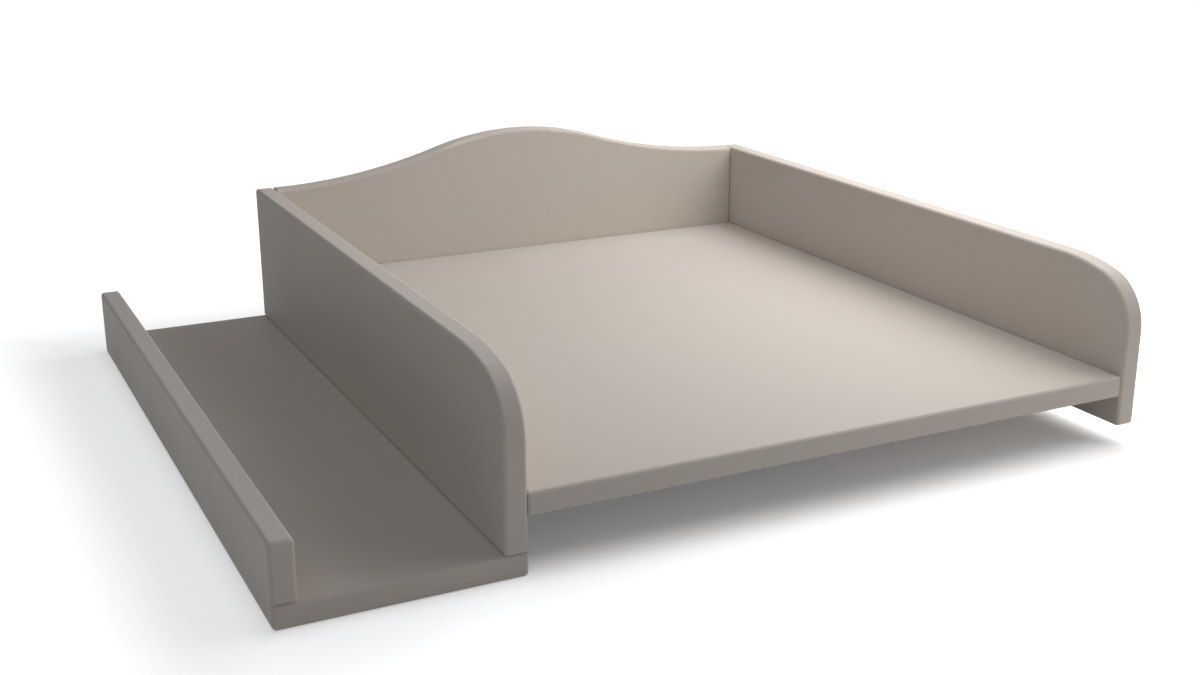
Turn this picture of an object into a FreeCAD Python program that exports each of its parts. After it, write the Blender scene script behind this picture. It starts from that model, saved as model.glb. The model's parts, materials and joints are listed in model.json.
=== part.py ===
import FreeCAD, Part
import math
import os
from collections import namedtuple

from FreeCAD import Vector

# Changing top for a chest of drawers: a base between two side panels with rounded noses, a wavy back
# panel behind it, and at the left a tray with a rail. Cam fittings, dowels and screws hold the boards
# together from the hidden faces. Millimetres. The origin is the centre of the base's underside, which
# rests on the furniture; +X points to the right, +Y to the back and +Z up.

# Boards
board = 22.0              # thickness of every board
inner_width = 658.0       # between the side panels, over the furniture that the skirts straddle
base_depth = 770.0        # changing surface, from its front edge to the back panel
side_height = 164.0       # side panels, from their foot to their straight top
skirt = 32.5              # how far the side panels hang below the base
tray_clear = 175.5        # between the rail and the left side panel
rail_height = 54.5        # rail above the tray board

# Outlines and edges
shoulder_radius = 241.0   # wide arc that starts the fall of a side panel's top
shoulder_turn = 14.1      # degrees that the wide arc turns
nose_radius = 59.0        # tight arc from there to the upright front edge
wave_rise = 51.0          # crest of the back panel above its ends
crest_radius = 372.0      # convex arc at the crest
round_over = 4.0          # free edges
seam_ease = 2.0           # edges that butt against another board, the wall or the furniture

# Places of the fittings
fixing_inset = 60.0       # first and last cam or screw of a long seam, from its ends
dowel_inset = 150.0       # the same for its dowels
back_cam_height = 76.0    # cams at the back panel's ends, above its lower edge
back_dowel_height = 38.0  # dowels at the same ends

# Cam fittings
cam_setback = 34.0        # cam's axis from the seam
cam_bore_radius = 7.5
cam_clearance = 0.08      # running clearance of the cam in its bore
cam_recess = 0.5          # cam's face below the board's surface
bore_room = 1.0           # bore's end beyond the bolt's head
cam_end_gap = 0.5         # bore's end beyond the cam
hook_wall = 1.6           # cam's wall behind the bolt's head when locked
mouth_wall = 0.7          # the same wall opposite, where the head goes in
chamber_gap = 0.3         # chamber's floor and flats, clear of the head
hook_gap = 0.1            # hook, clear of the locked head
slot_gap = 0.15           # slot, clear of the bolt
recess_length = 7.0       # cross recess for a screwdriver
recess_width = 1.6
recess_depth = 3.0
pointer_width = 3.2       # notch in the rim that shows where the mouth is
pointer_depth = 0.8

# Cam bolts
bolt_radius = 2.5
head_radius = 3.5
head_clearance = 0.5      # edge bore around the head
bolt_in_panel = 11.0      # length that is screwed into the panel
bolt_clearance = 0.05

# Dowels
dowel_radius = 4.0
dowel_sides = 12          # flats along the dowel leave room for glue
dowel_length = 35.0
dowel_in_face = 11.5      # length held by the face-drilled board, the rest is in the other's edge
dowel_clearance = 0.05
hole_end_gap = 0.75       # holes run on past a dowel, bolt or screw by this

# Tray screws
panel_screws = 3          # up into the left side panel
rail_screws = 2           # up into the rail
screw_length = 50.0
screw_radius = 3.0
screw_head_radius = 5.0
screw_sink = 0.3          # head below the tray's underside
screw_clearance = 0.05
socket_across = 4.0       # hexagon socket, across its flats
socket_depth = 2.5

# Places worked out from the sizes above
side_inner = inner_width / 2
side_outer = side_inner + board
front = -base_depth / 2
base_back = base_depth / 2
rear = base_back + board
side_foot = -skirt
side_top = side_height - skirt
tray_under = side_foot - board
rail_inner = -side_outer - tray_clear
rail_outer = rail_inner - board
rail_top = side_foot + rail_height
mid_board = board / 2
cam_radius = cam_bore_radius - cam_clearance
cam_bore_depth = mid_board + head_radius + bore_room
chamber_radius = cam_radius - (hook_wall + mouth_wall) / 2
eccentricity = (hook_wall - mouth_wall) / 2
slot_half = bolt_radius + slot_gap

right = Vector(1, 0, 0)
back = Vector(0, 1, 0)
up = Vector(0, 0, 1)
quarter_turn = math.pi / 2
touch = 1e-4              # how near counts as lying in a plane

CamJoint = namedtuple("CamJoint", "cam board panel seam toward inward")
DowelJoint = namedtuple("DowelJoint", "node edge_board face_board seam toward")
ScrewJoint = namedtuple("ScrewJoint", "node panel foot")


# Drawing helpers

def outline(*runs):
    """Face inside a closed line of runs: two points are a straight run, three are an arc."""
    curves = [Part.LineSegment(*run) if len(run) == 2 else Part.Arc(*run) for run in runs]
    return Part.Face(Part.Wire([curve.toShape() for curve in curves]))


def polygon(points):
    """Face inside straight runs from point to point."""
    return Part.Face(Part.makePolygon(points + points[:1]))


def block(low, high):
    """Box between two opposite corners."""
    size = high - low
    return Part.makeBox(size.x, size.y, size.z, low)


def rod(radius, start, end):
    """Round bar from one point to another."""
    return Part.makeCylinder(radius, (end - start).Length, start, end - start)


def prism(sides, radius, start, end):
    """Bar with equal flat sides from one point to another, its corners on a circle."""
    turns = [2 * math.pi * k / sides for k in range(sides)]
    section = polygon([Vector(radius * math.cos(turn), radius * math.sin(turn), 0) for turn in turns])
    bar = section.extrude(up * (end - start).Length)
    bar.Placement = FreeCAD.Placement(start, FreeCAD.Rotation(up, end - start))
    return bar


def turned(profile, axis):
    """Solid turned from a half profile about an axis through the origin."""
    return profile.revolve(Vector(), axis, 360)


def placed(shape, origin, toward, inward):
    """Copy of a shape drawn with X towards its panel and Z into its board, set at its place."""
    across = inward.cross(toward)
    axes = (toward, across, inward, origin)
    rows = [getattr(axis, name) for name in ("x", "y", "z") for axis in axes]
    copy = shape.copy()
    copy.Placement = FreeCAD.Placement(FreeCAD.Matrix(*rows, 0, 0, 0, 1)) * shape.Placement
    return copy


# Board edges

def lies_in(edge, planes):
    """True if an edge lies in one of the planes."""
    return any(abs(getattr(edge.CenterOfMass, axis) - place) < touch for axis, place in planes)


def is_corner(edge, corners):
    """True if one of the points is the middle of an edge."""
    return any(edge.CenterOfMass.distanceToPoint(corner) < touch for corner in corners)


def runs_along(edge, others):
    """True if the middle of an edge lies on one of the others."""
    middle = Part.Vertex(edge.valueAt((edge.FirstParameter + edge.LastParameter) / 2))
    return any(middle.distToShape(other)[0] < touch for other in others)


def edged(blank, faces, seats=(), square=(), corners=()):
    """Ease the edges of a board's seats, and round the edges of its faces and its corners.

    Edges in a square plane stay sharp. Faces, seats and square planes are an axis name and a place along
    that axis, and a corner is the middle of its edge.
    """
    kept = (*seats, *square)
    free = [edge for edge in blank.Edges
            if (lies_in(edge, faces) or is_corner(edge, corners)) and not lies_in(edge, kept)]
    eased = [edge for edge in blank.Edges if lies_in(edge, seats)]
    shape = blank.makeChamfer(seam_ease, eased) if eased else blank
    rounded = [edge for edge in shape.Edges if runs_along(edge, free)]
    return shape.makeFillet(round_over, rounded) if rounded else shape


def edged_across(shape, low, high, faces=(), seats=()):
    """Round or ease a board's front and rear straight across, leaving its ends square.

    That is what the board, which fills the block between two corners, shares with a longer bar whose
    edges are rounded or eased.
    """
    bar = block(low - right * board, high + right * board)
    return shape.common(edged(bar, faces, seats)).Solids[0]


# Boards

def base_board():
    """Flat board with a rounded front edge, between the side panels and in front of the back panel."""
    blank = block(Vector(-side_inner, front, 0), Vector(side_inner, base_back, board))
    seats = (("x", -side_inner), ("x", side_inner), ("y", base_back))
    return edged(blank, (("z", 0), ("z", board)), seats)


def side_panel(outer, seats=()):
    """Upright panel: straight foot, rear and top, and a wide and a tight arc round its front corner."""
    inner = math.copysign(side_inner, outer)
    turn = math.radians(shoulder_turn)
    step = shoulder_radius - nose_radius
    run = nose_radius + step * math.sin(turn)
    drop = shoulder_radius - step * math.cos(turn)

    def on_arc(centre_y, centre_z, radius, angle):
        return Vector(inner, centre_y - radius * math.sin(angle), centre_z + radius * math.cos(angle))

    def shoulder(angle):
        return on_arc(front + run, side_top - shoulder_radius, shoulder_radius, angle)

    def nose(angle):
        return on_arc(front + nose_radius, side_top - drop, nose_radius, angle)

    toe = Vector(inner, front, side_foot)
    heel = Vector(inner, rear, side_foot)
    peak = Vector(inner, rear, side_top)
    face = outline(
        (toe, heel),
        (heel, peak),
        (peak, shoulder(0)),
        (shoulder(0), shoulder(turn / 2), shoulder(turn)),
        (shoulder(turn), nose((turn + quarter_turn) / 2), nose(quarter_turn)),
        (nose(quarter_turn), toe),
    )
    thickness = right * (outer - inner)
    corners = [corner + thickness / 2 for corner in (toe, heel, peak)]
    return edged(face.extrude(thickness), (("x", inner), ("x", outer)), seats, corners=corners)


def back_panel():
    """Panel behind the base: a convex crest runs through two hollow arcs into level ends."""
    sweep = 2 * math.atan2(wave_rise, side_inner)
    foot_radius = side_inner / math.sin(sweep) - crest_radius
    crest = Vector(0, base_back, side_top + wave_rise)
    crest_centre = crest - up * crest_radius

    def bend(side):
        return crest_centre + (right * side * math.sin(sweep) + up * math.cos(sweep)) * crest_radius

    def hollow(side):
        foot_centre = Vector(side * side_inner, base_back, side_top + foot_radius)
        return foot_centre - (right * side * math.sin(sweep / 2) + up * math.cos(sweep / 2)) * foot_radius

    def end(side, height):
        return Vector(side * side_inner, base_back, height)

    face = outline(
        (end(-1, 0), end(1, 0)),
        (end(1, 0), end(1, side_top)),
        (end(1, side_top), hollow(1), bend(1)),
        (bend(1), crest, bend(-1)),
        (bend(-1), hollow(-1), end(-1, side_top)),
        (end(-1, side_top), end(-1, 0)),
    )
    seats = (("x", -side_inner), ("x", side_inner), ("z", 0), ("y", rear))
    return edged(face.extrude(back * board), (("y", base_back),), seats)


def tray_board():
    """Shelf from under the left side panel out to the rail, its ends flush with both."""
    low = Vector(rail_outer, front, tray_under)
    high = Vector(-side_inner, rear, side_foot)
    corners = [Vector(x, y, (low.z + high.z) / 2) for x in (low.x, high.x) for y in (front, rear)]
    top = (("z", side_foot),)
    shelf = edged(block(low, high), (("z", tray_under),), square=top, corners=corners)
    return edged_across(shelf, low, high, faces=top)


def tray_rail():
    """Low upright along the tray board's outer edge, flush with it."""
    low = Vector(rail_outer, front, side_foot)
    high = Vector(rail_inner, rear, rail_top)
    corners = [Vector((low.x + high.x) / 2, y, rail_top) for y in (front, rear)]
    foot = (("z", side_foot),)
    rail = edged(block(low, high), (("x", low.x), ("x", high.x)), square=foot, corners=corners)
    return edged_across(rail, low, high, seats=foot)


# Cam fittings, drawn with the cam's axis on Z, the bolt along X and the board's surface at Z = 0

def cam():
    """Turning cam: an eccentric chamber hooks over the bolt's head and draws it in.

    The chamber's wall is one arc whose centre lies off the cam's axis, away from the panel, so the wall
    is thickest where the cam locks. Flats lead from the arc to the mouth. A slot in the wall lets the
    bolt pass from the mouth to the slot's rounded end, which is the stop at the locked position.
    """
    body = rod(cam_radius, up * cam_recess, up * (cam_bore_depth - cam_end_gap))

    flat = head_radius + chamber_gap
    chord = math.sqrt(chamber_radius ** 2 - flat ** 2)
    floor = up * (mid_board - flat)
    centre = floor - right * eccentricity
    outside = floor - right * cam_bore_radius
    lock_corner = centre + right * chord - back * flat
    mouth_corner = centre - right * chord + back * flat
    chamber = outline(
        (outside - back * flat, lock_corner),
        (lock_corner, centre + (right + back) * (chamber_radius / math.sqrt(2)), mouth_corner),
        (mouth_corner, outside + back * flat),
        (outside + back * flat, outside - back * flat),
    ).extrude(up * cam_bore_depth)

    bolt_axis = up * mid_board
    slot = block(Vector(-cam_bore_radius, 0, mid_board - slot_half),
                 Vector(cam_bore_radius, cam_bore_radius, mid_board + slot_half))
    slot_end = rod(slot_half, bolt_axis, bolt_axis + right * cam_bore_radius)

    long_half = recess_length / 2
    thin_half = recess_width / 2
    cross = [block(Vector(-x, -y, 0), Vector(x, y, cam_recess + recess_depth))
             for x, y in ((long_half, thin_half), (thin_half, long_half))]
    pointer = polygon([
        Vector(-cam_bore_radius, -pointer_width / 2, 0),
        Vector(-cam_bore_radius, pointer_width / 2, 0),
        Vector(-long_half - thin_half, 0, 0),
    ]).extrude(up * (cam_recess + pointer_depth))
    return body.cut([chamber, slot, slot_end, pointer] + cross)


def cam_bolt():
    """Straight bolt with a cone-shaped head, which the locked cam's hook all but touches."""
    hook = math.sqrt(chamber_radius ** 2 - slot_half ** 2) - eccentricity
    flare = head_radius - bolt_radius
    neck = hook - hook_gap + slot_gap
    end = cam_setback + bolt_in_panel
    bolt = turned(polygon([
        Vector(neck - flare, 0, 0),
        Vector(neck - flare, head_radius, 0),
        Vector(neck, bolt_radius, 0),
        Vector(end, bolt_radius, 0),
        Vector(end, 0, 0),
    ]), right)
    return bolt.translated(up * mid_board)


def cam_bores():
    """Holes in the cam's board: the blind bore for the cam and the edge bore for the bolt."""
    bolt_axis = up * mid_board
    edge_bore = rod(head_radius + head_clearance, bolt_axis, bolt_axis + right * cam_setback)
    return rod(cam_bore_radius, Vector(), up * cam_bore_depth).fuse(edge_bore)


def bolt_hole():
    """Hole in the panel for the bolt's threaded end."""
    start = up * mid_board + right * cam_setback
    return rod(bolt_radius + bolt_clearance, start, start + right * (bolt_in_panel + hole_end_gap))


# Dowels, drawn along X with the seam at the origin and the face-drilled board at +X

def dowel():
    """Fluted peg, glued into both boards."""
    return prism(dowel_sides, dowel_radius, right * (dowel_in_face - dowel_length), right * dowel_in_face)


def dowel_holes():
    """Holes for one dowel in the edge of one board and the face of the other."""
    start = dowel_in_face - dowel_length - hole_end_gap
    end = dowel_in_face + hole_end_gap
    return rod(dowel_radius + dowel_clearance, right * start, right * end)


# Tray screws, drawn along Z with the tray board's underside at the origin

def countersunk(mouth, radius, start, end):
    """Turned shape that narrows from its mouth at 45 degrees and runs on straight."""
    return turned(polygon([
        Vector(0, 0, start),
        Vector(mouth, 0, start),
        Vector(radius, 0, start + mouth - radius),
        Vector(radius, 0, end),
        Vector(0, 0, end),
    ]), up)


def tray_screw():
    """Countersunk screw with a hexagon socket."""
    screw = countersunk(screw_head_radius, screw_radius, screw_sink, screw_sink + screw_length)
    socket_floor = up * (screw_sink + socket_depth)
    return screw.cut(prism(6, socket_across / math.sqrt(3), Vector(), socket_floor))


def screw_holes():
    """Countersunk hole through the tray board and pilot hole in the board that stands on it."""
    end = screw_sink + screw_length + hole_end_gap
    mouth = screw_head_radius + screw_sink + screw_clearance
    return countersunk(mouth, screw_radius + screw_clearance, 0, end)


# Where the fittings go

def spread(low, high, inset, count):
    """Evenly spaced places along a seam, the first and last inset from its ends."""
    step = (high - low - 2 * inset) / (count - 1)
    return [low + inset + k * step for k in range(count)]


def cam_joints():
    """Every cam fitting, with the point where its bolt crosses the seam."""
    joints = []
    for side, name in ((-1, "left"), (1, "right")):
        panel = name + "_side_panel"
        for y, place in zip(spread(front, base_back, fixing_inset, 2), ("front", "rear")):
            seam = Vector(side * side_inner, y, mid_board)
            joints.append(CamJoint(f"base_{name}_{place}_cam", "base_board", panel, seam, right * side, up))
        seam = Vector(side * side_inner, rear - mid_board, back_cam_height)
        joints.append(CamJoint(f"back_{name}_cam", "back_panel", panel, seam, right * side, -back))
    return joints


def dowel_joints():
    """Every dowel, with the middle of its seam."""
    joints = []
    for side, name in ((-1, "left"), (1, "right")):
        panel = name + "_side_panel"
        for y in spread(front, base_back, dowel_inset, 2):
            seam = Vector(side * side_inner, y, mid_board)
            joints.append(DowelJoint(f"base_{name}_dowels", "base_board", panel, seam, right * side))
        seam = Vector(side * side_inner, rear - mid_board, back_dowel_height)
        joints.append(DowelJoint(f"back_{name}_dowel", "back_panel", panel, seam, right * side))
    for x in spread(-side_inner, side_inner, dowel_inset, 2):
        seam = Vector(x, base_back, mid_board)
        joints.append(DowelJoint("base_back_dowels", "base_board", "back_panel", seam, back))
    return joints


def screw_joints():
    """Every tray screw, with its foot on the tray board's underside."""
    seams = (("tray_panel_screws", "left_side_panel", -side_inner - mid_board, panel_screws),
             ("tray_rail_screws", "tray_rail", rail_inner - mid_board, rail_screws))
    return [ScrewJoint(node, panel, Vector(x, y, tray_under))
            for node, panel, x, count in seams for y in spread(front, rear, fixing_inset, count)]


# Assembly

def assembly():
    """Every node of the changing top: boards with their holes cut, cams, and groups of fasteners."""
    boards = {
        "base_board": base_board(),
        "back_panel": back_panel(),
        "left_side_panel": side_panel(-side_outer, (("z", side_foot),)),
        "right_side_panel": side_panel(side_outer),
        "tray_board": tray_board(),
        "tray_rail": tray_rail(),
    }
    holes = {name: [] for name in boards}
    cams = {}
    groups = {}

    drawn_cam, drawn_bolt, drawn_bores, drawn_hole = cam(), cam_bolt(), cam_bores(), bolt_hole()
    for joint in cam_joints():
        origin = joint.seam - joint.toward * cam_setback - joint.inward * mid_board
        place = (origin, joint.toward, joint.inward)
        cams[joint.cam] = placed(drawn_cam, *place)
        bolts = joint.panel.replace("_side", "") + "_cam_bolts"
        groups.setdefault(bolts, []).append(placed(drawn_bolt, *place))
        holes[joint.board].append(placed(drawn_bores, *place))
        holes[joint.panel].append(placed(drawn_hole, *place))

    drawn_dowel, drawn_dowel_holes = dowel(), dowel_holes()
    for joint in dowel_joints():
        square = back if abs(joint.toward.dot(up)) else up
        place = (joint.seam, joint.toward, square)
        groups.setdefault(joint.node, []).append(placed(drawn_dowel, *place))
        for name in (joint.edge_board, joint.face_board):
            holes[name].append(placed(drawn_dowel_holes, *place))

    drawn_screw, drawn_screw_holes = tray_screw(), screw_holes()
    for joint in screw_joints():
        place = (joint.foot, right, up)
        groups.setdefault(joint.node, []).append(placed(drawn_screw, *place))
        for name in ("tray_board", joint.panel):
            holes[name].append(placed(drawn_screw_holes, *place))

    nodes = {name: shape.cut(holes[name]) for name, shape in boards.items()}
    nodes.update(cams)
    nodes.update((name, Part.makeCompound(solids)) for name, solids in groups.items())
    return nodes


os.makedirs("parts", exist_ok=True)
for node, shape in assembly().items():
    shape.exportStep(f"parts/{node}.step")
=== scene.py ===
import json
import math

import bpy
import numpy as np
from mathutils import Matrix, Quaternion, Vector

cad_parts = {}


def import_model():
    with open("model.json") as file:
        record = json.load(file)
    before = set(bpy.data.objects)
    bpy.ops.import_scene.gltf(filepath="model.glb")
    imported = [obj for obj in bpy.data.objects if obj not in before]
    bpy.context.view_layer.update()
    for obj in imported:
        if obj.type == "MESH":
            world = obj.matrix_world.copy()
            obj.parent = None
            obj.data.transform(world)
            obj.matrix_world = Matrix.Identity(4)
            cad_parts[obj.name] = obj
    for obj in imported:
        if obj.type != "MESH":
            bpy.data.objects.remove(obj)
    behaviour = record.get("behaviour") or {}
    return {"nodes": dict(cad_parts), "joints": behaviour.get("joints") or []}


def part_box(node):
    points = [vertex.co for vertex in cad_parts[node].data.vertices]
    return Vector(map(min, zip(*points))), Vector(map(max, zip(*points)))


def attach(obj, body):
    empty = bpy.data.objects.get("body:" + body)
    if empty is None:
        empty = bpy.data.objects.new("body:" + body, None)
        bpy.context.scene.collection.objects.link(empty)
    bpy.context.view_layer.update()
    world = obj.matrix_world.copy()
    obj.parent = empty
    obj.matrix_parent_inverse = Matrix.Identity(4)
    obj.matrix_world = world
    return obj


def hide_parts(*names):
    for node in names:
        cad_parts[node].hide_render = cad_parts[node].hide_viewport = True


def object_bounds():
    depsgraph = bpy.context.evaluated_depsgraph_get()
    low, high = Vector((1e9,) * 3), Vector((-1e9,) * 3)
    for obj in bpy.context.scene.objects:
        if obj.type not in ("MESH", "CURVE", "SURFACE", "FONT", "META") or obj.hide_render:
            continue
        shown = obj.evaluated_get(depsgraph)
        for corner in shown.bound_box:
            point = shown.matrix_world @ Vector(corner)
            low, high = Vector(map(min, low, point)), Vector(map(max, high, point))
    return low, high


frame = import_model()
cad_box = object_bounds()

MM = 0.001
X, Y, Z = range(3)

# Pieces that keep their shape and get a finish
BOARDS = ("base_board", "back_panel", "left_side_panel", "right_side_panel", "tray_board", "tray_rail")
CAMS = [joint["child"] for joint in frame["joints"]]

# Groups of fasteners that are drawn in detail
SCREW_COUNTS = {"tray_panel_screws": 3, "tray_rail_screws": 2}
BOLT_SIDES = {"left_panel_cam_bolts": -1, "right_panel_cam_bolts": 1}    # which way along X they point
DOWEL_ROWS = {                # axis that they lie along, axis that they stand in a row along, how many
    "base_left_dowels": (X, Y, 2),
    "base_right_dowels": (X, Y, 2),
    "base_back_dowels": (Y, X, 2),
    "back_left_dowel": (X, Y, 1),
    "back_right_dowel": (X, Y, 1),
}

# Camera, where the photograph was taken from, in metres
CAMERA_PLACE = Vector((-0.7868, -1.4414, 0.5213))
CAMERA_AIM = Vector((-0.1161, -0.0898, 0.0435))
CAMERA_ROLL = math.radians(-0.07)
CAMERA_LENS = 45.1            # millimetres, on the sensor below
SENSOR_WIDTH = 36.0

# Studio, in metres
FLOOR_RADIUS = 6.0
FLOOR_CORNERS = 96
FLOOR_GAP = 0.0002            # floor below the tray's underside
FLOOR_COLOUR = "F7F7F6"
# Painted shade on the floor: its glow is least under the object and grows outwards, so the floor there is
# darker than the lamps alone make it.
GLOW_UNDER = 0.115            # light added to the floor where it is seen, under the object
GLOW_BESIDE = 0.455           # more of it around the object, where its shadow is soft
GLOW_FAR = 0.43               # and more again out on the open floor, which is white
BESIDE_EDGE = (-0.047, 0.025)    # where each starts and is full, outwards from the edge of the CAD box
FAR_EDGE = (0.0, 0.32)
BACKDROP_COLOUR = "FFFFFF"
WORLD_LIGHT = 0.092           # strength of the surroundings as a light
WORLD_SEEN = 1.0              # the same where they are seen or mirrored
LIGHT_AIM = Vector((-0.05, 0.0, 0.05))
KEY_COLOUR = "FFFFFF"
FILL_COLOUR = "E4EFFF"        # a little cooler, as light from a window is

# Patterns
NOISE_SPAN = (0.3, 0.7)       # nearly all of a noise pattern lies between these values
MIX_SHARE, MIX_FIRST, MIX_SECOND = 0, 6, 7    # inputs of a Mix node that mixes two colours
MIXED = 2                     # and its output

# Boards: sprayed lacquer
LACQUER = "D2C8BE"
LACQUER_DEEP = "CFC5BB"
LACQUER_ROUGHNESS = (0.60, 0.66)    # where the colour is deep, and where it is light
LACQUER_IOR = 1.34
CLOUD_MM = 70.0               # drift of shade where the coat is a little thicker
PEEL_MM = 4.0                 # orange peel of the sprayed coat, drawn coarser and deeper so that it shows
PEEL_HEIGHT_MM = 0.2
GRIT_MM = 0.7                 # sanding grain under the coat, drawn coarser than its 0.1 mm
GRIT_HEIGHT_MM = 0.003

# Cams: zinc, die cast and tumbled
ZINC = "A9AAAC"
ZINC_DULL = "8C8D90"
ZINC_ROUGHNESS = (0.52, 0.34)    # where the metal is dull, and where it is bright
CAST_MM = 1.4                 # grey flow marks of the casting
CAST_GRAIN_MM = 0.25
CAST_GRAIN_HEIGHT_MM = 0.012

# Cam bolts: steel, zinc plated
PLATING = "C6CACF"
PLATING_TINT = "C9C3B4"       # faint yellow bloom of the passivation
PLATING_ROUGHNESS = 0.27
BLOOM_MM = 4.0

# Tray screws: steel, blackened
BLACKING = "2A2A2C"
BLACKING_WORN = "4A494A"      # thinner blacking, with steel showing through
BLACKING_ROUGHNESS = (0.48, 0.32)    # where it is whole, and where it is rubbed smooth
WORN_MM = 2.5
WORN_SPAN = (0.45, 0.8)       # values of the pattern where the colour starts to thin and is thinnest
RUBBED_SPAN = (0.2, 0.8)      # and where the surface is whole and is smoothest

# Dowels: beech, turned and fluted
BEECH = "D8B388"
BEECH_DARK = "BE9263"
FLECK = "9C6E45"              # short dark rays in the grain
BEECH_ROUGHNESS = 0.62
GRAIN_MM = (0.7, 0.7, 22.0)   # streaks: both ways across the dowel, and along it
FLECK_MM = (0.35, 0.35, 2.4)
FLECK_SPAN = (0.62, 0.72)     # values of the pattern where a fleck starts and is darkest
FLECK_SHARE = 0.6             # share of the fleck's colour there
GRAIN_SHIFT = 0.06            # metres of grain from one dowel to the next

# Fasteners, in millimetres
ROUND_SIDES = 48
ROWS_PER_TURN = 10            # rows of corners over one pitch of a thread
THREAD_SHARE = 0.55           # share of the pitch that a thread's ridge takes up
POINT_BLUNT = 0.35            # share of the radius left at a point's end
SHARP_ANGLE = math.radians(35)    # edges that turn by more than this stay sharp
SCREW_RADIUS = 3.0
SCREW_CORE = 2.1
SCREW_HEAD_RADIUS = 5.0
SCREW_PITCH = 3.0
SCREW_NECK = 20.0             # head and plain neck, which lie in the tray board
SCREW_POINT = 4.0
SOCKET_ACROSS = 4.0
SOCKET_DEPTH = 2.5
BOLT_RADIUS = 2.5
BOLT_CORE = 1.9
BOLT_HEAD_RADIUS = 3.5
BOLT_PITCH = 2.0
BOLT_THREAD = 10.5            # threaded length at the tip
BOLT_POINT = 1.5
DOWEL_RADIUS = 4.0
DOWEL_CHAMFER = 1.0
DOWEL_FLUTES = 18
FLUTE_DEPTH = 0.3
FLUTE_POINTS = 6              # corners round one flute


def linear(hex_colour):
    """Linear RGBA of an sRGB hex colour."""
    srgb = np.array([int(hex_colour[k:k + 2], 16) for k in (0, 2, 4)]) / 255
    low = srgb / 12.92
    high = ((srgb + 0.055) / 1.055) ** 2.4
    return (*np.where(srgb <= 0.04045, low, high).tolist(), 1.0)


def waves_per_metre(millimetres):
    """Texture scale of a pattern that repeats at a real size."""
    return 1 / (millimetres * MM)


# Materials

def node(tree, kind, inputs=None, **settings):
    """Add a shader node. Settings are its own options, inputs are values or other nodes' outputs."""
    made = tree.nodes.new("ShaderNode" + kind)
    for name, value in settings.items():
        setattr(made, name, value)
    for name, value in (inputs or {}).items():
        if isinstance(value, bpy.types.NodeSocket):
            tree.links.new(value, made.inputs[name])
        else:
            made.inputs[name].default_value = value
    return made


def empty_material(name):
    """New material with no nodes, and its tree."""
    material = bpy.data.materials.new(name)
    material.use_nodes = True
    material.node_tree.nodes.clear()
    return material, material.node_tree


def seen_directly(tree):
    """1 for a ray that looks straight at a surface, in a mirror image of it or through glass, else 0."""
    path = node(tree, "LightPath").outputs
    looked = node(tree, "Math", {0: path["Is Camera Ray"], 1: path["Is Glossy Ray"]}, operation="MAXIMUM")
    seen = node(tree, "Math", {0: looked.outputs[0], 1: path["Is Transmission Ray"]}, operation="MAXIMUM")
    return seen.outputs[0]


def satin_lacquer():
    """Sprayed satin lacquer on sanded fibreboard."""
    # A sprayed coat dries with a soft orange peel, so highlights are broad and slightly mottled. The colour
    # is even, with a slow drift where the coat is thicker.
    material, tree = empty_material("satin_lacquer")
    place = node(tree, "TexCoord").outputs["Object"]
    cloud = node(tree, "TexNoise", {"Vector": place, "Scale": waves_per_metre(CLOUD_MM), "Detail": 3.0})
    peel = node(tree, "TexNoise", {"Vector": place, "Scale": waves_per_metre(PEEL_MM), "Detail": 1.0})
    grit = node(tree, "TexNoise", {"Vector": place, "Scale": waves_per_metre(GRIT_MM), "Detail": 2.0})
    colour = node(tree, "Mix", {MIX_SHARE: cloud.outputs["Fac"], MIX_FIRST: linear(LACQUER_DEEP),
                                MIX_SECOND: linear(LACQUER)}, data_type="RGBA")
    rough = node(tree, "MapRange", {"Value": cloud.outputs["Fac"],
                                    "From Min": NOISE_SPAN[0], "From Max": NOISE_SPAN[1],
                                    "To Min": LACQUER_ROUGHNESS[0], "To Max": LACQUER_ROUGHNESS[1]})
    fine = node(tree, "Bump", {"Height": grit.outputs["Fac"], "Distance": GRIT_HEIGHT_MM * MM})
    soft = node(tree, "Bump", {"Height": peel.outputs["Fac"], "Distance": PEEL_HEIGHT_MM * MM,
                               "Normal": fine.outputs["Normal"]})
    surface = node(tree, "BsdfPrincipled", {"Base Color": colour.outputs[MIXED], "IOR": LACQUER_IOR,
                                            "Roughness": rough.outputs["Result"],
                                            "Normal": soft.outputs["Normal"]})
    node(tree, "OutputMaterial", {"Surface": surface.outputs["BSDF"]})
    return material


def die_cast_zinc():
    """Zinc alloy, die cast and tumbled."""
    # Casting leaves cloudy grey flow marks and a fine pitted skin. Tumbling polishes it unevenly, so the
    # metal is half matt and its reflections are broken up.
    material, tree = empty_material("die_cast_zinc")
    place = node(tree, "TexCoord").outputs["Object"]
    flow = node(tree, "TexNoise", {"Vector": place, "Scale": waves_per_metre(CAST_MM), "Detail": 3.0})
    grain = node(tree, "TexNoise", {"Vector": place, "Scale": waves_per_metre(CAST_GRAIN_MM),
                                    "Detail": 2.0})
    colour = node(tree, "Mix", {MIX_SHARE: flow.outputs["Fac"], MIX_FIRST: linear(ZINC_DULL),
                                MIX_SECOND: linear(ZINC)}, data_type="RGBA")
    rough = node(tree, "MapRange", {"Value": flow.outputs["Fac"],
                                    "From Min": NOISE_SPAN[0], "From Max": NOISE_SPAN[1],
                                    "To Min": ZINC_ROUGHNESS[0], "To Max": ZINC_ROUGHNESS[1]})
    skin = node(tree, "Bump", {"Height": grain.outputs["Fac"], "Distance": CAST_GRAIN_HEIGHT_MM * MM})
    surface = node(tree, "BsdfPrincipled", {"Base Color": colour.outputs[MIXED], "Metallic": 1.0,
                                            "Roughness": rough.outputs["Result"],
                                            "Normal": skin.outputs["Normal"]})
    node(tree, "OutputMaterial", {"Surface": surface.outputs["BSDF"]})
    return material


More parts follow.
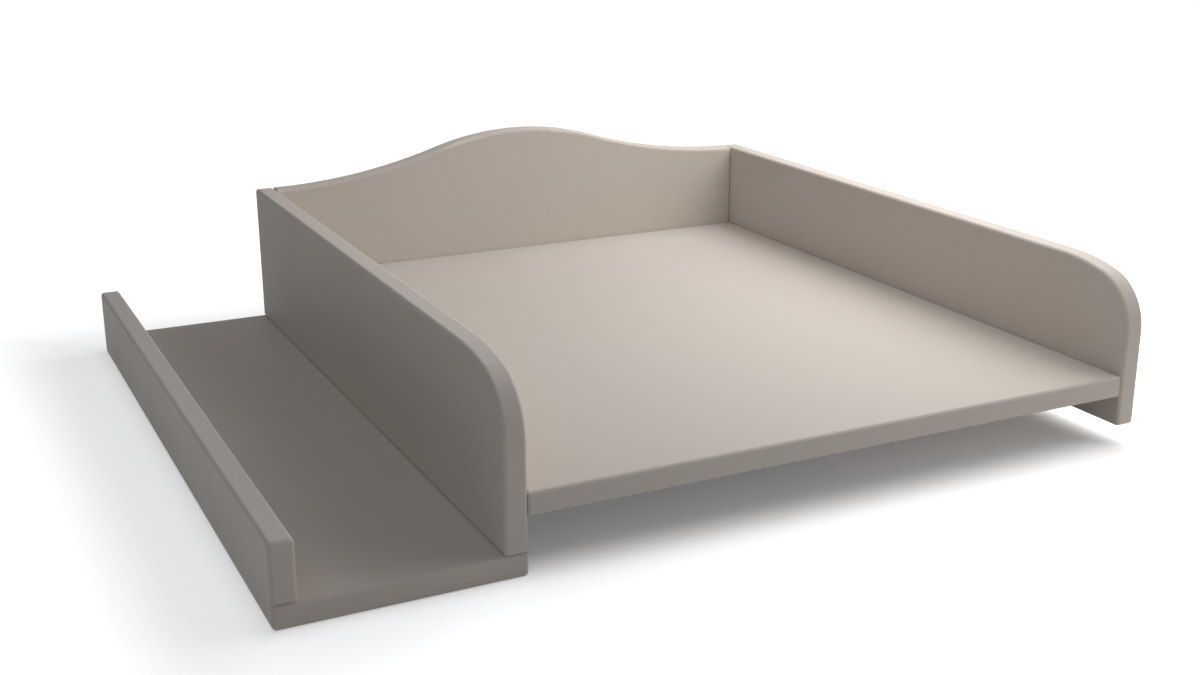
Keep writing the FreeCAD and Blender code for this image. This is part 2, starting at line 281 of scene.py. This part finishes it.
def zinc_plated_steel():
    """Rolled steel with bright zinc plating."""
    # Plating follows the rolled steel closely, so it is smooth and bright, with a faint yellow bloom where
    # the passivation is thicker.
    material, tree = empty_material("zinc_plated_steel")
    place = node(tree, "TexCoord").outputs["Object"]
    bloom = node(tree, "TexNoise", {"Vector": place, "Scale": waves_per_metre(BLOOM_MM), "Detail": 2.0})
    colour = node(tree, "Mix", {MIX_SHARE: bloom.outputs["Fac"], MIX_FIRST: linear(PLATING),
                                MIX_SECOND: linear(PLATING_TINT)}, data_type="RGBA")
    surface = node(tree, "BsdfPrincipled", {"Base Color": colour.outputs[MIXED], "Metallic": 1.0,
                                            "Roughness": PLATING_ROUGHNESS})
    node(tree, "OutputMaterial", {"Surface": surface.outputs["BSDF"]})
    return material


def blackened_steel():
    """Steel with a chemical black finish."""
    # The black is a thin oxide that shows the steel's sheen, greyer and smoother where it is rubbed.
    material, tree = empty_material("blackened_steel")
    place = node(tree, "TexCoord").outputs["Object"]
    worn = node(tree, "TexNoise", {"Vector": place, "Scale": waves_per_metre(WORN_MM), "Detail": 4.0})
    share = node(tree, "MapRange", {"Value": worn.outputs["Fac"],
                                    "From Min": WORN_SPAN[0], "From Max": WORN_SPAN[1]})
    colour = node(tree, "Mix", {MIX_SHARE: share.outputs["Result"], MIX_FIRST: linear(BLACKING),
                                MIX_SECOND: linear(BLACKING_WORN)}, data_type="RGBA")
    rough = node(tree, "MapRange", {"Value": worn.outputs["Fac"],
                                    "From Min": RUBBED_SPAN[0], "From Max": RUBBED_SPAN[1],
                                    "To Min": BLACKING_ROUGHNESS[0], "To Max": BLACKING_ROUGHNESS[1]})
    surface = node(tree, "BsdfPrincipled", {"Base Color": colour.outputs[MIXED], "Metallic": 1.0,
                                            "Roughness": rough.outputs["Result"]})
    node(tree, "OutputMaterial", {"Surface": surface.outputs["BSDF"]})
    return material


def turned_beech():
    """Unfinished beech, its grain along the dowel."""
    # Beech is pale and even, with fine streaks along the grain and short dark flecks of cut rays.
    material, tree = empty_material("turned_beech")
    place = node(tree, "Attribute", attribute_name="along_grain").outputs["Vector"]
    patterns = []
    for sizes, detail in ((GRAIN_MM, 3.0), (FLECK_MM, 1.0)):
        scale = [waves_per_metre(size) for size in sizes]
        stretched = node(tree, "Mapping", {"Vector": place, "Scale": scale})
        patterns.append(node(tree, "TexNoise", {"Vector": stretched.outputs["Vector"], "Scale": 1.0,
                                                "Detail": detail}))
    streaks, flecks = patterns
    grain = node(tree, "Mix", {MIX_SHARE: streaks.outputs["Fac"], MIX_FIRST: linear(BEECH_DARK),
                               MIX_SECOND: linear(BEECH)}, data_type="RGBA")
    dark = node(tree, "MapRange", {"Value": flecks.outputs["Fac"], "From Min": FLECK_SPAN[0],
                                   "From Max": FLECK_SPAN[1], "To Max": FLECK_SHARE})
    colour = node(tree, "Mix", {MIX_SHARE: dark.outputs["Result"], MIX_FIRST: grain.outputs[MIXED],
                                MIX_SECOND: linear(FLECK)}, data_type="RGBA")
    surface = node(tree, "BsdfPrincipled", {"Base Color": colour.outputs[MIXED],
                                            "Roughness": BEECH_ROUGHNESS})
    node(tree, "OutputMaterial", {"Surface": surface.outputs["BSDF"]})
    return material


def white_paper():
    """Seamless paper: takes the shadows, is lifted to white where it is seen, and is clear from below."""
    # Paper is matt and has no sheen, so its only marks are the object's real soft shadow and painted shade.
    material, tree = empty_material("white_paper")
    middle, half = (cad_box[0] + cad_box[1]) / 2, (cad_box[1] - cad_box[0]) / 2
    place = node(tree, "TexCoord").outputs["Object"]
    offset = node(tree, "VectorMath", {0: place, 1: middle}, operation="SUBTRACT").outputs[0]
    distance = node(tree, "VectorMath", {0: offset}, operation="ABSOLUTE").outputs[0]
    beyond = node(tree, "VectorMath", {0: distance, 1: half}, operation="SUBTRACT").outputs[0]
    beyond_each = node(tree, "SeparateXYZ", {0: beyond}).outputs
    outside = node(tree, "Math", {0: beyond_each["X"], 1: beyond_each["Y"]}, operation="MAXIMUM")
    # Painted shade: the glow starts low under the object and rises away from its edge, so the floor stays
    # darker there and deepens its shadow.
    share = GLOW_UNDER
    for more, (start, full) in ((GLOW_BESIDE, BESIDE_EDGE), (GLOW_FAR, FAR_EDGE)):
        rise = node(tree, "MapRange", {"Value": outside.outputs[0], "From Min": start, "From Max": full,
                                       "To Max": more}, interpolation_type="SMOOTHSTEP")
        share = node(tree, "Math", {0: share, 1: rise.outputs["Result"]}, operation="ADD").outputs[0]
    lift = node(tree, "Math", {0: seen_directly(tree), 1: share}, operation="MULTIPLY")
    paper = node(tree, "BsdfDiffuse", {"Color": linear(FLOOR_COLOUR)})
    glow = node(tree, "Emission", {"Color": linear(BACKDROP_COLOUR), "Strength": lift.outputs[0]})
    lit = node(tree, "AddShader", {0: paper.outputs[0], 1: glow.outputs[0]})
    below = node(tree, "NewGeometry").outputs["Backfacing"]
    clear = node(tree, "BsdfTransparent")
    shown = node(tree, "MixShader", {0: below, 1: lit.outputs[0], 2: clear.outputs[0]})
    node(tree, "OutputMaterial", {"Surface": shown.outputs[0]})
    return material


# Fasteners, drawn round Z from the origin upwards, in millimetres

def turn(sides):
    """Equal steps of angle once round an axis, as one row."""
    return np.linspace(0, 2 * math.pi, sides, endpoint=False)[None, :]


def drawn_round(along, out, angle):
    """Grid of points round Z, with a row for each height along it and a column for each angle.

    A point's x and y are its radius times the cosine and the sine of its angle, and its z is its height.
    """
    along, out, angle = np.broadcast_arrays(along, out, angle)
    return np.stack([out * np.cos(angle), out * np.sin(angle), along], axis=-1)


def rows_along(start, end, pitch):
    """Heights close enough together to draw a thread of that pitch, as one column."""
    return np.append(np.arange(start, end, pitch / ROWS_PER_TURN), end)[:, None]


def hexagon(angle, across):
    """Radius of a hexagon: half its width, over the cosine of the angle from the nearest flat's middle."""
    flat = math.pi / 3
    return across / 2 / np.cos(angle % flat - flat / 2)


def ridge(along, angle, pitch, start, end):
    """Height of a thread, from 0 in its groove to 1 on its crest.

    The turns along the axis less the turns round it count the pitches passed at a point. A triangle wave
    of that count, cut off below, is the ridge, and it fades in and out over a pitch at its ends.
    """
    passed = along / pitch - angle / (2 * math.pi)
    wave = np.abs(2 * (passed % 1) - 1)
    crest = np.clip((wave - 1 + THREAD_SHARE) / THREAD_SHARE, 0, 1)
    fade = np.clip((along - start) / pitch, 0, 1) * np.clip((end - along) / pitch, 0, 1)
    return crest * fade


def taper(along, end, length):
    """Share of the radius left: the way to the end over a point's length, plus its blunt share, up to 1."""
    return np.clip((end - along) / length + POINT_BLUNT, POINT_BLUNT, 1)


def socket_screw(length):
    """Countersunk screw: from the floor of its hexagon socket out over the head, then along the thread.

    The head's cone slopes at 45 degrees, so it is as high as it is wide.
    """
    angle = turn(ROUND_SIDES)
    shank = rows_along(SCREW_HEAD_RADIUS - SCREW_RADIUS, length, SCREW_PITCH)
    thread = (SCREW_RADIUS - SCREW_CORE) * ridge(shank, angle, SCREW_PITCH, SCREW_NECK, length)
    socket = hexagon(angle, SOCKET_ACROSS)
    out = np.vstack([
        socket,
        socket,
        np.full_like(angle, SCREW_HEAD_RADIUS),
        np.where(shank < SCREW_NECK, SCREW_RADIUS, SCREW_CORE + thread) * taper(shank, length, SCREW_POINT),
    ])
    return drawn_round(np.vstack([[[SOCKET_DEPTH], [0], [0]], shank]), out, angle)


def cam_bolt(length):
    """Bolt: a 45-degree cone as its head, a plain shank, and the thread that is driven into the panel."""
    angle = turn(ROUND_SIDES)
    shank = rows_along(BOLT_HEAD_RADIUS - BOLT_RADIUS, length, BOLT_PITCH)
    plain = length - BOLT_THREAD
    thread = (BOLT_RADIUS - BOLT_CORE) * ridge(shank, angle, BOLT_PITCH, plain, length)
    out = np.vstack([
        np.full_like(angle, BOLT_HEAD_RADIUS),
        np.where(shank < plain, BOLT_RADIUS, BOLT_CORE + thread) * taper(shank, length, BOLT_POINT),
    ])
    return drawn_round(np.vstack([[[0]], shank]), out, angle)


def fluted_dowel(length):
    """Dowel: its radius falls by a cosine wave into each flute, and its ends are chamfered."""
    angle = turn(DOWEL_FLUTES * FLUTE_POINTS)
    flute = FLUTE_DEPTH * (1 - np.cos(DOWEL_FLUTES * angle)) / 2
    along = np.array([[0], [DOWEL_CHAMFER], [length - DOWEL_CHAMFER], [length]])
    out = DOWEL_RADIUS - np.array([[DOWEL_CHAMFER], [0], [0], [DOWEL_CHAMFER]]) - flute
    return drawn_round(along, out, angle)


# Where the fasteners go, in metres

def in_a_row(name, along, spread, radius, count):
    """Starts of a node's equal fasteners, side by side along one axis, with their direction and length."""
    low, high = np.array(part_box(name))
    starts = np.tile((low + high) / 2, (count, 1))
    starts[:, along] = low[along]
    starts[:, spread] = np.linspace(low[spread] + radius * MM, high[spread] - radius * MM, count)
    return starts, np.eye(3)[along], (high - low)[along] / MM


def by_their_cams(name, side):
    """Starts of a panel's cam bolts, on the axes of their cams and in the middle of the cams' board."""
    low, high = np.array(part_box(name))
    starts = []
    for joint in frame["joints"]:
        board = "base_board" if joint["child"].startswith("base") else "back_panel"
        through = np.argmax(np.abs(joint["axis"]))
        start = np.array(joint["pos_m"])
        start[through] = np.mean(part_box(board), axis=0)[through]
        if start[X] * side > 0:
            start[X] = low[X] if side > 0 else high[X]
            starts.append(start)
    return np.array(starts), side * np.eye(3)[X], (high - low)[X] / MM


def closed_skin(rows, columns, first):
    """Faces of a grid that closes round its axis, and a fan over each end, from its first corner's number.

    The corners are the grid's, row by row, and then the two middles of the ends.
    """
    here = first + np.arange(rows * columns).reshape(rows, columns)
    beside = np.roll(here, -1, axis=1)
    bottom, top = first + rows * columns + np.arange(2)
    quads = np.stack([here[:-1], beside[:-1], beside[1:], here[1:]], axis=-1).reshape(-1, 4)
    bottom_fan = np.stack([np.full(columns, bottom), beside[0], here[0]], axis=-1)
    top_fan = np.stack([np.full(columns, top), here[-1], beside[-1]], axis=-1)
    return quads.tolist() + bottom_fan.tolist() + top_fan.tolist()


def fasteners(name, shape, place, material):
    """One piece that stands for a node's group of equal fasteners, each drawn by a shape function."""
    starts, toward, length = place
    drawn = shape(length) * MM
    rows, columns = drawn.shape[:2]
    ends = np.stack([drawn[0].mean(axis=0), drawn[-1].mean(axis=0)])
    own = np.concatenate([drawn.reshape(-1, 3), ends])
    across = np.roll(toward, 1)
    axes = np.stack([across, np.cross(toward, across), toward])
    corners = (starts[:, None] + own @ axes).reshape(-1, 3)
    faces = [face for k in range(len(starts)) for face in closed_skin(rows, columns, k * len(own))]

    mesh = bpy.data.meshes.new(name + "_detailed")
    mesh.from_pydata(corners.tolist(), [], faces)
    shifts = np.arange(len(starts))[:, None, None] * GRAIN_SHIFT
    grain = mesh.attributes.new("along_grain", "FLOAT_VECTOR", "POINT")
    grain.data.foreach_set("vector", (own + shifts).astype(np.float32).ravel())
    mesh.shade_smooth()
    mesh.set_sharp_from_angle(angle=SHARP_ANGLE)
    mesh.materials.append(material)
    piece = bpy.data.objects.new(name + "_detailed", mesh)
    bpy.context.scene.collection.objects.link(piece)
    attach(piece, "top")
    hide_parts(name)


# Studio

def floor():
    """Disc just below the tray's underside, with the points of one circle as its rim."""
    rim = drawn_round(cad_box[0].z - FLOOR_GAP, FLOOR_RADIUS, turn(FLOOR_CORNERS))[0]
    mesh = bpy.data.meshes.new("floor")
    mesh.from_pydata(rim.tolist(), [], [list(range(FLOOR_CORNERS))])
    mesh.materials.append(white_paper())
    disc = bpy.data.objects.new("floor", mesh)
    bpy.context.scene.collection.objects.link(disc)


def world():
    """White surroundings: a plain light, and pure white where they are seen or mirrored."""
    surroundings = bpy.data.worlds.new("studio")
    surroundings.use_nodes = True
    tree = surroundings.node_tree
    tree.nodes.clear()
    strength = node(tree, "MapRange", {"Value": seen_directly(tree), "To Min": WORLD_LIGHT,
                                       "To Max": WORLD_SEEN})
    light = node(tree, "Background", {"Color": linear(BACKDROP_COLOUR),
                                      "Strength": strength.outputs["Result"]})
    node(tree, "OutputWorld", {"Surface": light.outputs[0]})
    bpy.context.scene.world = surroundings


def softbox(name, azimuth, elevation, distance, size, watts, colour):
    """Square area light that looks at the object. Azimuth 0 is in front of it and 90 at its right."""
    light = bpy.data.lights.new(name, "AREA")
    light.size = size
    light.energy = watts
    light.color = linear(colour)[:3]
    bearing, rise = math.radians(azimuth), math.radians(elevation)
    away = Vector((math.sin(bearing) * math.cos(rise), -math.cos(bearing) * math.cos(rise), math.sin(rise)))
    lamp = bpy.data.objects.new(name, light)
    lamp.location = LIGHT_AIM + away * distance
    lamp.rotation_mode = "QUATERNION"
    lamp.rotation_quaternion = (-away).to_track_quat("-Z", "Y")
    bpy.context.scene.collection.objects.link(lamp)


def camera():
    """Camera at the photograph's angle."""
    lens = bpy.data.cameras.new("camera")
    lens.lens = CAMERA_LENS
    lens.sensor_width = SENSOR_WIDTH
    view = bpy.data.objects.new("camera", lens)
    view.location = CAMERA_PLACE
    view.rotation_mode = "QUATERNION"
    level = (CAMERA_AIM - CAMERA_PLACE).to_track_quat("-Z", "Y")
    view.rotation_quaternion = level @ Quaternion((0, 0, 1), CAMERA_ROLL)
    bpy.context.scene.collection.objects.link(view)
    bpy.context.scene.camera = view


def dress(nodes, material):
    """Give CAD nodes their finish."""
    for name in nodes:
        slots = frame["nodes"][name].data.materials
        slots.clear()
        slots.append(material)


# The object
dress(BOARDS, satin_lacquer())
dress(CAMS, die_cast_zinc())

blacking = blackened_steel()
for name, count in SCREW_COUNTS.items():
    place = in_a_row(name, Z, Y, SCREW_HEAD_RADIUS, count)
    fasteners(name, socket_screw, place, blacking)

plating = zinc_plated_steel()
for name, side in BOLT_SIDES.items():
    fasteners(name, cam_bolt, by_their_cams(name, side), plating)

beech = turned_beech()
for name, (along, spread, count) in DOWEL_ROWS.items():
    fasteners(name, fluted_dowel, in_a_row(name, along, spread, DOWEL_RADIUS, count), beech)

# Its surroundings, with angles in degrees and sizes in metres
floor()
world()
softbox("right_key", azimuth=120, elevation=45, distance=1.0, size=0.6, watts=3.4, colour=KEY_COLOUR)
softbox("right_side", azimuth=95, elevation=40, distance=0.95, size=0.6, watts=2.2, colour=KEY_COLOUR)
softbox("right_near", azimuth=62, elevation=48, distance=1.0, size=0.7, watts=1.9, colour=KEY_COLOUR)
softbox("right_low", azimuth=45, elevation=20, distance=1.4, size=0.85, watts=2.3, colour=KEY_COLOUR)
softbox("front_top", azimuth=40, elevation=60, distance=0.65, size=0.4, watts=0.8, colour=KEY_COLOUR)
softbox("left_fill", azimuth=270, elevation=60, distance=1.6, size=1.0, watts=2.2, colour=FILL_COLOUR)
softbox("front_left_fill", azimuth=318, elevation=20, distance=1.6, size=1.0, watts=1.2, colour=FILL_COLOUR)
camera()
bpy.context.scene.view_settings.view_transform = "Standard"
